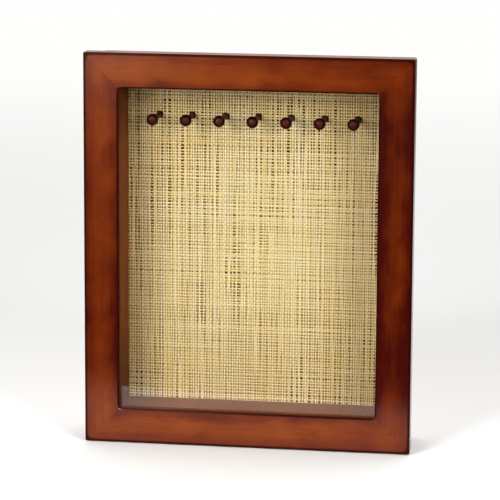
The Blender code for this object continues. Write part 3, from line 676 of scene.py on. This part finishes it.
def mitre_fill(name, sx, sz):
    """A thin sheet that fills the open joint at one corner, a hair below the members' faces."""
    sink, far, arris = 0.04 * MM, face - 0.6 * MM, 1.4 * MM
    rabbet = 7.0 * MM
    line = [
        (0.1 * MM, front_face + arris),
        (0.45 * MM, front_face + 0.5 * MM),
        (arris, front_face + sink),
        (far - arris, front_face + sink),
        (far - 0.3 * MM, front_face + 0.5 * MM),
        (far, front_face + arris),
        (far, frame_back - arris),
        (far - arris, frame_back - sink),
        (rabbet + 0.1 * MM, frame_back - sink),
        (rabbet + 0.1 * MM, lip_back - 0.1 * MM),
        (0.1 * MM, lip_back - 0.1 * MM),
    ]
    n = Vector((sx, 0, -sz)).normalized() * 0.135 * MM
    points = []
    for sign in (-1, 1):
        for u, y in line:
            points.append(Vector((sx * (x_sight + u), y, z_middle + sz * (z_sight + u))) + n * sign)
    m = len(line)
    faces = [tuple(range(m)), tuple(range(2 * m - 1, m - 1, -1))]
    faces += [(k, k + m, (k + 1) % m + m, (k + 1) % m) for k in range(m)]
    obj = mesh_piece(name, points, faces, MITRE_WOOD, smooth=False)
    bpy.context.view_layer.objects.active = obj
    bpy.ops.object.select_all(action="DESELECT")
    obj.select_set(True)
    bpy.ops.object.mode_set(mode="EDIT")
    bpy.ops.mesh.select_all(action="SELECT")
    bpy.ops.mesh.normals_make_consistent(inside=False)
    bpy.ops.object.mode_set(mode="OBJECT")
    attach(obj, "door")


for name, sx, sz in (("bottom_left", -1, -1), ("bottom_right", 1, -1), ("top_left", -1, 1), ("top_right", 1, 1)):
    mitre_fill("mitre_fill_" + name, sx, sz)

# ------------------------------------------------------------------ floor
def floor_finish():
    s = Shade("white_paper_sweep")
    tooth = s.noise(s.stretched((300, 300, 300)), detail=2.0)
    s.set(Base_Color=s.mix(tooth, (0.86, 0.86, 0.86), (0.88, 0.88, 0.88)), Roughness=0.9, Specular_IOR_Level=0.1)
    # Far behind the case the paper fades into the white background.
    x, y, z = s.axes()
    gone = s.add("BsdfTransparent", {"Color": (1.0, 1.0, 1.0)})
    beside = s.span(s.maths("ABSOLUTE", x), 0.9, 2.2)
    both = s.add("MixShader", {0: s.maths("MAXIMUM", s.span(y, 0.9, 3.4), beside), 1: s.shader.outputs[0], 2: gone.outputs[0]})
    s.tree.links.new(both.outputs[0], s.out.inputs[0])
    return s.material


# The paper ends a little way in front of the case, outside the picture.
edge = [(-6.0, -0.75), (-0.9, -0.372), (0.30, -0.231), (1.2, -0.26), (6.0, -0.6)]
floor = mesh_piece(
    "floor",
    [(x, y, 0.0) for x, y in edge] + [(6.0, 9.0, 0.0), (-6.0, 9.0, 0.0)],
    [tuple(range(len(edge) + 2))],
    floor_finish(),
    smooth=False,
)

# ------------------------------------------------------------------ light
world = bpy.data.worlds.new("studio")
scene.world = world
world.use_nodes = True
wt = world.node_tree
wt.nodes.clear()


def wnode(kind, **settings):
    made = wt.nodes.new("ShaderNode" + kind)
    for key, value in settings.items():
        setattr(made, key, value)
    return made


def wmath(operation, a, b=None, clamp=False):
    made = wnode("Math", operation=operation, use_clamp=clamp)
    for i, value in enumerate((a, b)):
        if isinstance(value, bpy.types.NodeSocket):
            wt.links.new(value, made.inputs[i])
        elif value is not None:
            made.inputs[i].default_value = value
    return made.outputs[0]


def wspan(value, low, high, to_low, to_high):
    made = wnode("MapRange", interpolation_type="SMOOTHSTEP")
    wt.links.new(value, made.inputs["Value"])
    for key, v in (("From Min", low), ("From Max", high), ("To Min", to_low), ("To Max", to_high)):
        made.inputs[key].default_value = v
    return made.outputs[0]


coords = wnode("TexCoord")
split = wnode("SeparateXYZ")
wt.links.new(coords.outputs["Generated"], split.inputs[0])
behind = wspan(split.outputs["Y"], -0.25, 0.35, 0.05, 0.95)  # dark room in front, white sweep behind
above = wspan(split.outputs["Z"], -0.10, 0.55, 0.25, 1.0)
room = wmath("MULTIPLY", behind, above)
seen = wnode("LightPath").outputs["Is Camera Ray"]
strength = wnode("Mix", data_type="FLOAT")
wt.links.new(seen, strength.inputs[0])
wt.links.new(room, strength.inputs[2])
strength.inputs[3].default_value = 1.0
background = wnode("Background")
background.inputs["Color"].default_value = (1.0, 0.995, 0.985, 1.0)
wt.links.new(strength.outputs[0], background.inputs["Strength"])
world_out = wnode("OutputWorld")
wt.links.new(background.outputs[0], world_out.inputs[0])


def softbox(name, place, target, width, height, power, colour=(1.0, 0.995, 0.985)):
    data = bpy.data.lights.new(name, "AREA")
    data.shape = "RECTANGLE"
    data.size, data.size_y = width, height
    data.energy = power
    data.color = colour
    lamp = bpy.data.objects.new(name, data)
    scene.collection.objects.link(lamp)
    lamp.location = place
    lamp.rotation_mode = "QUATERNION"
    lamp.rotation_quaternion = (Vector(target) - Vector(place)).to_track_quat("-Z", "Y")
    return lamp


middle = (0.0, 0.0, z_middle)
softbox("key_left", (-0.70, -1.55, 0.86), middle, 0.75, 1.22, 38.5)
softbox("key_right", (1.10, -1.40, 0.92), middle, 0.70, 1.0, 28.5)
softbox("back_top", (0.0, 2.2, 2.6), (0.0, 1.8, 0.0), 4.0, 3.0, 47.0)

# ------------------------------------------------------------------ camera
camera_data = bpy.data.cameras.new("camera")
camera_data.lens = 197.77
camera_data.sensor_width = 36.0
camera_data.clip_start, camera_data.clip_end = 0.1, 60.0
camera = bpy.data.objects.new("camera", camera_data)
scene.collection.objects.link(camera)
YAW, PITCH, ROLL = 0.154408, 0.185357, 0.005209
look = Vector((-math.sin(YAW) * math.cos(PITCH), math.cos(YAW) * math.cos(PITCH), -math.sin(PITCH)))
side = look.cross(Vector((0, 0, 1))).normalized()
rise = side.cross(look)
side_r = side * math.cos(ROLL) + rise * math.sin(ROLL)
rise_r = rise * math.cos(ROLL) - side * math.sin(ROLL)
camera.matrix_world = Matrix.Translation((0.44794, -2.89591, 0.76109)) @ Matrix(
    ((side_r.x, rise_r.x, -look.x), (side_r.y, rise_r.y, -look.y), (side_r.z, rise_r.z, -look.z))
).to_4x4()
scene.camera = camera

scene.view_settings.view_transform = "Standard"
scene.view_settings.look = "None"
